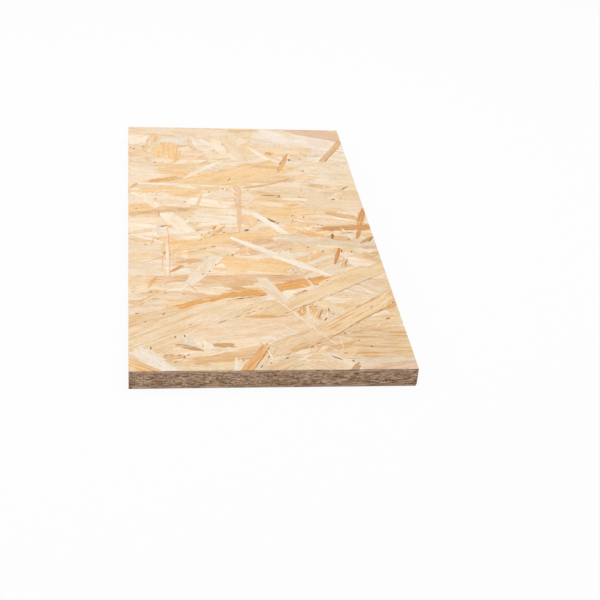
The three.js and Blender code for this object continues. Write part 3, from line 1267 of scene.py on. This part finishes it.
hollows = (
    # x, y, length and height in mm, and turn in degrees: small gaps between the strands, the open ones with
    # floors darkened as painted shade
    (-147, 231, 4, 3, 60), (-143, 227, 4, 3, 20), (-132, 264, 2, 2, 0), (-80, 266, 3, 1.5, 20),
    (10, 281, 4, 1.2, 10), (18, 256, 3, 2, 80), (39, 246, 3, 1.5, 0), (54, 247, 4, 1.5, 10),
    (60, 245, 3, 1.5, 0), (88, 224, 3, 2, 90), (84, 201, 3, 2, 45), (118, 226, 4, 1.5, 60),
    (98, 234, 3, 1.5, 0), (95, 212, 3, 1.5, 30), (69, 198, 8, 3.6, 75), (84, 165, 6, 2.6, 70),
    (-147, 190, 4, 2, 0), (-115, 185, 5, 2.4, 60), (-112, 136, 4, 1.5, 20), (-28, 108, 4, 2.4, 70),
    (-23, 106, 4, 1.8, 80), (-27, 165, 3, 1.2, 40), (-18, 136, 12, 1.2, 60), (-47, 99, 8, 1.2, 55),
    (4, 105, 4, 1.6, 10), (89, 106, 3, 1.5, 0), (-125, 198, 3, 2, 60), (132, 113, 12, 1.2, 45),
    (43, 89, 11, 1.3, 55), (-8, 192, 3, 2, 0), (30, 91, 20, 1.1, 2),
    (-79, 71, 5, 2.2, 170), (-62, -15, 4, 1.4, 70), (-34, -9, 5, 1.4, 30), (-21, 2, 3, 1.4, 0),
    (-20, 36, 3, 1.6, 60), (-28, 37, 3, 1.4, 30), (-5, 38, 3, 1.4, 0), (-100, 5, 4, 1.2, 10),
    (-80, 24, 3, 1.4, 50), (-75, 18, 4, 1.2, 30), (-140, 52, 4, 1.6, 20), (-116, 78, 9, 1.2, 55),
    (54, 24, 4, 1.6, 90), (35, 16, 8, 1.4, 55), (55, 36, 6, 1.4, 45), (69, 32, 5, 2, 80),
    (80, 27, 16, 0.9, -25), (85, 13, 3, 1.6, 60), (89, 11, 3, 1.4, 20), (72, 11, 3, 1.4, 0),
    (32, -9, 3, 1.4, 40), (114, 82, 6, 4.4, 20), (44, 88, 5, 1.6, 30), (70, 87, 4, 1.6, 0),
    (99, -16, 14, 4.5, 80), (118, -8, 22, 2, 8), (145, -25, 13, 2.6, 55), (-108, -60, 4, 2, 40),
    (-130, -40, 4, 1.5, 10), (-115, -28, 3, 1.5, 60), (-101, -63, 3, 1.6, 60), (-97, -60, 3, 1.4, 40),
    (-90, -62, 4, 1.4, 10), (-28, -64, 5, 3, 60), (-33, -64, 3, 1.6, 0), (-6, -28, 3, 1.4, 30),
    (-65, -108, 4, 1.4, 60), (-57, -102, 4, 1.6, 50), (-49, -87, 4, 1.6, 60), (65, -44, 5, 2.6, 20),
    (82, -54, 4, 2, 60), (43, -49, 3, 1.8, 30), (37, -53, 3, 1.6, 10), (23, -54, 3, 1.4, 20),
    (41, -97, 3, 1.6, 50), (43, -105, 3, 1.4, 40), (117, -55, 4, 1.8, 70), (98, -22, 4, 2, 10),
    (118, -25, 3, 1.6, 30), (21, -111, 22, 1, -8), (-141, -192, 5, 2.6, 20), (-125, -147, 5, 1.6, 20),
    (-145, -147, 4, 1.4, 0), (-89, -152, 5, 1.4, -20), (-109, -150, 4, 1.6, 30), (-112, -193, 4, 2, 50),
    (-13, -188, 4, 1.2, 30), (-5, -183, 4, 1.2, 35), (-20, -160, 30, 1.2, 14), (48, -145, 9, 1.4, 35),
    (65, -132, 4, 1.4, 35), (78, -122, 4, 1.4, 30), (61, -192, 24, 1, 70), (65, -204, 9, 1.8, 55),
    (71, -185, 9, 1.4, 88), (-132, -208, 3, 1.6, 40), (-101, -238, 4, 2.6, 70), (-91, -236, 4, 2, 90),
    (-127, -259, 7, 1.4, 75), (-111, -272, 9, 1.4, 25), (-98, -272, 6, 1, 80), (-93, -276, 6, 1, 75),
    (-88, -271, 5, 1, 80), (-102, -284, 4, 1.4, 20), (-32, -282, 3, 1.4, 0), (-5, -276, 6, 1.2, 65),
    (-14, -293, 8, 1.2, 60), (-4, -288, 4, 1.2, 60), (107, -258, 4, 2.8, 20), (95, -246, 3, 1.6, 0),
    (82, -232, 4, 2.4, 40), (43, -258, 5, 1.6, 35), (77, -270, 4, 1.8, 0), (83, -284, 4, 2, 30),
    (14, -278, 6, 1.8, 35), (67, -279, 15, 2.2, -35), (147, -169, 7, 1.6, 50), (120, -179, 6, 1.4, 30),
    (-84, -214, 3, 1.2, 0), (105, -52, 9, 1.3, 75), (99, -78, 13, 1, 45), (106, -81, 12, 0.9, 66),
)

seamLines = (
    # from x, y to x, y in mm and the share of it that shows: dark broken lines where two strands meet, whose
    # dashes are narrow gaps with floors of painted shade
    (-57, -212, -8, -186, 0.55), (-36, -163, -5, -156, 0.6), (17, -195, 60, -167, 0.9),
    (60, -167, 148, -104, 0.9), (11, -275, 60, -246, 0.5), (60, -246, 95, -215, 0.75),
    (95, -215, 150, -168, 0.7), (98, -184, 122, -164, 0.5), (-1, -254, -23, -300, 0.7),
    (-83, -60, -54, -46, 0.7), (-54, -46, -20, -38, 0.3), (147, 245, 117, 193, 0.75),
    (-121, 266, -133, 222, 0.35), (-150, 30, -70, 44, 0.35), (-42, 8, -64, -28, 0.35),
    (95, 0, 150, 0, 0.4), (62, 212, 48, 162, 0.35),
    (30, -128, 80, -112, 0.25),
)

hollowMat = {
    "knotFrom": 2.2,  # mm: higher ones are shallow knots, and the others are open gaps
    "knotDepth": (0.12, 0.3),
    "hollowDepth": (0.5, 1.0),
    "seed": 5,
    "lineFrom": 0.6,  # seams that show more than this have a thin line all along
    "line": (0.6, 0.15),  # its width and depth
    "start": (0, 4),
    "dash": (5, 15),
    "dashWidth": (0.65, 1.1),
    "dashLean": (-0.05, 0.05),
    "dashDepth": 0.45,
    "pause": (4, 28),
    # border: painted shade on the outline, as for a strand
    "border": 0.8,
    "figure": 0.3,
}


# A gap in the hollow tone is a real pit whose dark floor is painted shade
def hollowShape(x, y, length, height, turn, depth, lean=0.1, tone="hollow"):
    lens = (
        (-length / 2, 0),
        (-length / 5, -height / 2),
        (length / 4, -height / 3),
        (length / 2, lean * height),
        (length / 6, height / 2),
        (-length / 4, height / 3),
    )
    c, s = math.cos(turn), math.sin(turn)
    ring = [(x + c * u - s * v, y + s * u + c * v) for u, v in lens]
    strand = makeStrand(x, y, length, height, turn, tone, random.Random(round(x * 7 + y * 13)))
    strand.update(level=-depth, tiltAlong=0.0, tiltAcross=0.0, rimDrop=0.0)
    strand.update(border=hollowMat["border"], figure=hollowMat["figure"])
    return strand, [ring]


def faceHollows():
    found = []
    draw = random.Random(hollowMat["seed"])
    for x, y, length, height, turn in hollows:
        kind = "knot" if height > hollowMat["knotFrom"] else "hollow"
        depth = draw.uniform(*hollowMat[kind + "Depth"])
        found.append(hollowShape(x, y, length, height, math.radians(turn), depth, tone=kind))
    for fromX, fromY, toX, toY, share in seamLines:
        dx, dy = toX - fromX, toY - fromY
        length, turn = math.hypot(dx, dy), math.atan2(dy, dx)
        if share > hollowMat["lineFrom"]:
            width, depth = hollowMat["line"]
            middle = ((fromX + toX) / 2, (fromY + toY) / 2)
            found.append(hollowShape(*middle, length, width, turn, depth, tone="knot"))
        done = draw.uniform(*hollowMat["start"])
        while done < length:
            dash = draw.uniform(*hollowMat["dash"])
            at = (done + dash / 2) / length
            width, lean = draw.uniform(*hollowMat["dashWidth"]), draw.uniform(*hollowMat["dashLean"])
            place = (fromX + dx * at, fromY + dy * at)
            found.append(hollowShape(*place, dash, width, turn + lean, hollowMat["dashDepth"]))
            done += dash + draw.uniform(*hollowMat["pause"]) * (1 - share)
    return found


layTree = buildLayTree()
faceSheet = {
    "slot": "strand_face",
    "material": strandFace,
    "grid": 0.01,  # mm: corners nearer than this are one
    "rimWidth": 0.5,  # mm, as all that follow
    "floor": 1.25,  # how deep the gaps go
    "skin": 2.4,  # how deep the relief's own skin goes
    "inset": 3.4,  # how far the block behind the skin stands in
    "block": panel["thickness"] / 2 - 0.02,  # how deep the block goes
    "arris": 0.15,  # left free along every edge of the face
}
faceShape = {
    "Outline Corners": 32,
    "Rim Width": faceSheet["rimWidth"],
    "Torn Ends": faceMat["tornEnds"],
    "Wavy Sides": faceMat["wavySides"],
    "Seed": 3.0,
}


def faceSheets(name, strands, outlines, place, sides, knockProud=None):
    halfX, halfY = [panel[side] / 2 - faceSheet["arris"] for side in ("width", "length")]
    for along, (x0, x1) in zip(sides, ((-halfX, 0), (0, halfX))):
        for depth, (y0, y1) in (("Front", (-halfY, 0)), ("Back", (0, halfY))):
            proud = knockProud if (along, depth) == ("Right", "Front") else None
            pressPiece(name + depth + along, strands, outlines, (x0, y0), (x1, y1), faceSheet, place, proud)


topStrands = scatteredStrands(faceMat["seed"])
laidDraw = random.Random(faceMat["laidSeed"])
laid = [laidStrand(row, laidDraw) for row in laidStrands]
topStrands += laid + scatteredSplinters(laid)
topOutlines = shapeOutlines(topStrands, layTree, faceShape, strandFace)
for strand, rings in faceHollows():
    topStrands.append(strand)
    topOutlines.append(rings)
topPlace = sheetPlace((0, 0, panel["thickness"] / 1000), (1, 0, 0), (0, 1, 0), (0, 0, 1))
faceSheets("topStrands", topStrands, topOutlines, topPlace, ("Left", "Right"))

undersideStrands = scatteredStrands(faceMat["seed"] + 1)
undersideOutlines = shapeOutlines(undersideStrands, layTree, faceShape, strandFace)
# The underside is laid out as it is seen from below, so the sides change places
undersidePlace = sheetPlace((0, 0, 0), (-1, 0, 0), (0, 1, 0), (0, 0, -1))
faceSheets("undersideStrands", undersideStrands, undersideOutlines, undersidePlace, ("Right", "Left"), 0.0)
print("faces made")

# The four sawn edges
edgeMat = {
    "layers": 31,
    "seed": 40,
    "faceLayer": 4.5,  # mm at each face where the strands run across the panel
    "longEnds": (4, 28),  # strands sawn along their length
    "shortEnds": (2.5, 11),  # strands sawn across
    "alongShares": {"endTan": 36, "endPale": 12, "endGrey": 40, "endOchre": 4, "endDark": 8},
    "acrossShares": {"endTan": 36, "endPale": 22, "endGrey": 14, "endOchre": 22, "endDark": 6},
    "overrun": 5,  # mm that the layers run on past the corner
    "scatterUp": 0.2,  # mm
    "overlap": (0.9, 1.0),  # a strand's start after the one before it, as a share of that one's length
    "stretch": 1.12,  # and how much longer it is than its place
    "height": (1.2, 1.9),  # in layers
    "lean": 0.35,  # mm from end to end
    "leanFrom": 8,  # mm: shorter strands turn no more than one of this length
    "taper": (0.5, 0.9),
    "bow": (-0.25, 0.25),  # mm
    "level": (0.0, 0.18),  # mm
    # border: painted shade on the walls between strand ends
    "border": (0.2, 1.0),
    "figure": (0.2, 0.9),
}

edgeGaps = {  # the open gaps, as on the CAD panel, with dark floors of painted shade
    "spacing": 11,
    "cornerClearance": 9,
    "numbersPerEdge": 1000,
    "length": (2.4, 8.5),
    "height": (0.45, 1.15),
    "depth": (1.2, 3.6),
}


def scatter(index, channel):
    wave = math.sin(index * 12.9898 + channel * 78.233) * 43758.5453
    return wave - math.floor(wave)


def edgeHollows(run, edgeNumber):
    found = []
    free = run - 2 * edgeGaps["cornerClearance"]
    count = math.floor(free / edgeGaps["spacing"])
    core = panel["thickness"] - 2 * edgeMat["faceLayer"]
    for i in range(count):
        index = i + edgeNumber * edgeGaps["numbersPerEdge"]
        x = -free / 2 + (i + scatter(index, 5)) * (free / count)
        y = edgeMat["faceLayer"] + core * scatter(index, 6)
        sizes = []
        for channel, name in enumerate(("length", "height", "depth"), 1):
            least, most = edgeGaps[name]
            sizes.append(least + (most - least) * scatter(index, channel))
        length, height, depth = sizes
        found.append(hollowShape(x, y, length, height, 0, depth, scatter(index, 4) - 0.5))
    return found


def edgeStrands(run, alongFace, seed):
    draw = random.Random(seed)
    pitch = panel["thickness"] / edgeMat["layers"]
    strands = []

    def drawn(name):
        return draw.uniform(*edgeMat[name])

    for layer in range(-1, edgeMat["layers"] + 1):
        height = (layer + 0.5) * pitch
        inFace = min(height, panel["thickness"] - height) < edgeMat["faceLayer"]
        least, most = edgeMat["longEnds" if inFace == alongFace else "shortEnds"]
        shares = edgeMat["alongShares" if inFace == alongFace else "acrossShares"]
        at = -run / 2 - draw.uniform(0, most)
        while at < run / 2 + edgeMat["overrun"]:
            length = least * (most / least) ** draw.random()
            y = height + draw.uniform(-edgeMat["scatterUp"], edgeMat["scatterUp"])
            width = pitch * drawn("height")
            turn = draw.gauss(0, edgeMat["lean"]) / max(length, edgeMat["leanFrom"])
            tone = drawTone(draw, shares)
            ends = {"taperFar": drawn("taper"), "taperNear": drawn("taper"), "bow": drawn("bow")}
            ends.update(level=-drawn("level"), tiltAlong=0.0, border=drawn("border"), figure=drawn("figure"))
            x, full = at + length / 2, length * edgeMat["stretch"]
            strands.append(makeStrand(x, y, full, width, turn, tone, draw, **ends))
            at += length * drawn("overlap")
    draw.shuffle(strands)
    return strands


edgeShape = {"Outline Corners": 8, "Rim Width": 0.0, "Torn Ends": 0.6, "Wavy Sides": 0.15}
edgeSheet = {  # as faceSheet
    "slot": "sawn_edge",
    "material": sawnEdge,
    "grid": 0.005,
    "rimWidth": 0.1,
    "floor": 0.9,
    "skin": 3.8,
    "inset": 0.4,
    "block": 3.9,
    "ends": 0.15,  # left free at the corners
    "arris": 0.25,
}
sawnEdges = (
    # name, its run, directions along and out, then its parts, with how far the knock's cut stands proud
    ("Front", "width", (1, 0, 0), (0, -1, 0), {"": (-1, 1, 0.02)}),
    ("Right", "length", (0, 1, 0), (1, 0, 0), {"Front": (-1, 0, 0.04), "Back": (0, 1, None)}),
    ("Back", "width", (-1, 0, 0), (0, 1, 0), {"": (-1, 1, None)}),
    ("Left", "length", (0, -1, 0), (-1, 0, 0), {"Front": (0, 1, None), "Back": (-1, 0, None)}),
)

for number, (side, runName, across, outward, parts) in enumerate(sawnEdges):
    run, reach = panel[runName], panel["length" if runName == "width" else "width"] / 2000
    strands = edgeStrands(run, runName == "width", edgeMat["seed"] + number)
    outlines = shapeOutlines(strands, layTree, dict(edgeShape, Seed=7.0 + number), sawnEdge)
    for strand, rings in edgeHollows(run, number):
        strands.append(strand)
        outlines.append(rings)
    place = sheetPlace(Vector(outward) * reach, across, (0, 0, 1), outward)
    half, foot = run / 2 - edgeSheet["ends"], edgeSheet["arris"]
    for part, (x0, x1, proud) in parts.items():
        corners = (x0 * half, foot), (x1 * half, panel["thickness"] - foot)
        pressPiece("sawnEdge" + side + part, strands, outlines, *corners, edgeSheet, place, proud)
print("edges made")

# Floor, world and lamps
studio = {
    "floorSize": 12.0,
    "floorColour": (0.86, 0.86, 0.86, 1),
    "floorRoughness": 0.9,
    "floorSpecular": 0.1,
    "floorGlow": 0.93,  # share of the floor that the camera sees as plain white
    "white": (1, 1, 1, 1),
    "worldStrength": 0.42,
    "lamps": (  # name, place, aim, size and power in watts
        ("overheadPanel", (0.1, 0.25, 1.7), (0, 0, 0), 1.6, 17.5),
        ("leftPanel", (-1.5, -0.2, 1.1), (0, 0, 0), 0.9, 7.0),
    ),
}


# The camera, mirrors and glass see white, and the light on the panel stays as it is
def showWhite(tree, shader, whiteKind, outputName, glow):
    path = addNode(tree, "ShaderNodeLightPath").outputs
    seen = calc("MAXIMUM", path["Is Camera Ray"], path["Is Glossy Ray"])
    seen = calc("MAXIMUM", seen, path["Is Transmission Ray"])
    white = addNode(tree, whiteKind, {"Color": studio["white"], "Strength": 1.0})
    inputs = {0: times(seen, glow), 1: shader.outputs[0], 2: white.outputs[0]}
    mix = addNode(tree, "ShaderNodeMixShader", inputs)
    feed(tree.nodes[outputName].inputs["Surface"], mix.outputs[0])


def makeFloor():
    mesh = bpy.data.meshes.new("studioFloor")
    half = studio["floorSize"] / 2
    mesh.from_pydata([(x, y, 0) for x, y in cornersOf((-half, -half), (half, half))], [], [(0, 1, 2, 3)])
    floor = addObject("studioFloor", mesh)
    material = bpy.data.materials.new("paleFloor")
    material.use_nodes = True
    shader = material.node_tree.nodes["Principled BSDF"]
    shader.inputs["Base Color"].default_value = studio["floorColour"]
    shader.inputs["Roughness"].default_value = studio["floorRoughness"]
    shader.inputs["Specular IOR Level"].default_value = studio["floorSpecular"]
    showWhite(material.node_tree, shader, "ShaderNodeEmission", "Material Output", studio["floorGlow"])
    mesh.materials.append(material)


def makeWorld():
    world = bpy.data.worlds.new("studioWorld")
    bpy.context.scene.world = world
    world.use_nodes = True
    light = world.node_tree.nodes["Background"]
    light.inputs["Color"].default_value = studio["white"]
    light.inputs["Strength"].default_value = studio["worldStrength"]
    showWhite(world.node_tree, light, "ShaderNodeBackground", "World Output", 1.0)


def makeLamps():
    for name, place, aim, size, power in studio["lamps"]:
        data = bpy.data.lights.new(name, "AREA")
        data.shape, data.size, data.energy = "SQUARE", size, power
        lamp = addObject(name, data)
        lamp.location = place
        lamp.rotation_euler = (Vector(aim) - Vector(place)).to_track_quat("-Z", "Y").to_euler()


makeFloor()
makeWorld()
makeLamps()
bpy.context.scene.view_settings.view_transform = "Standard"
print("studio made")
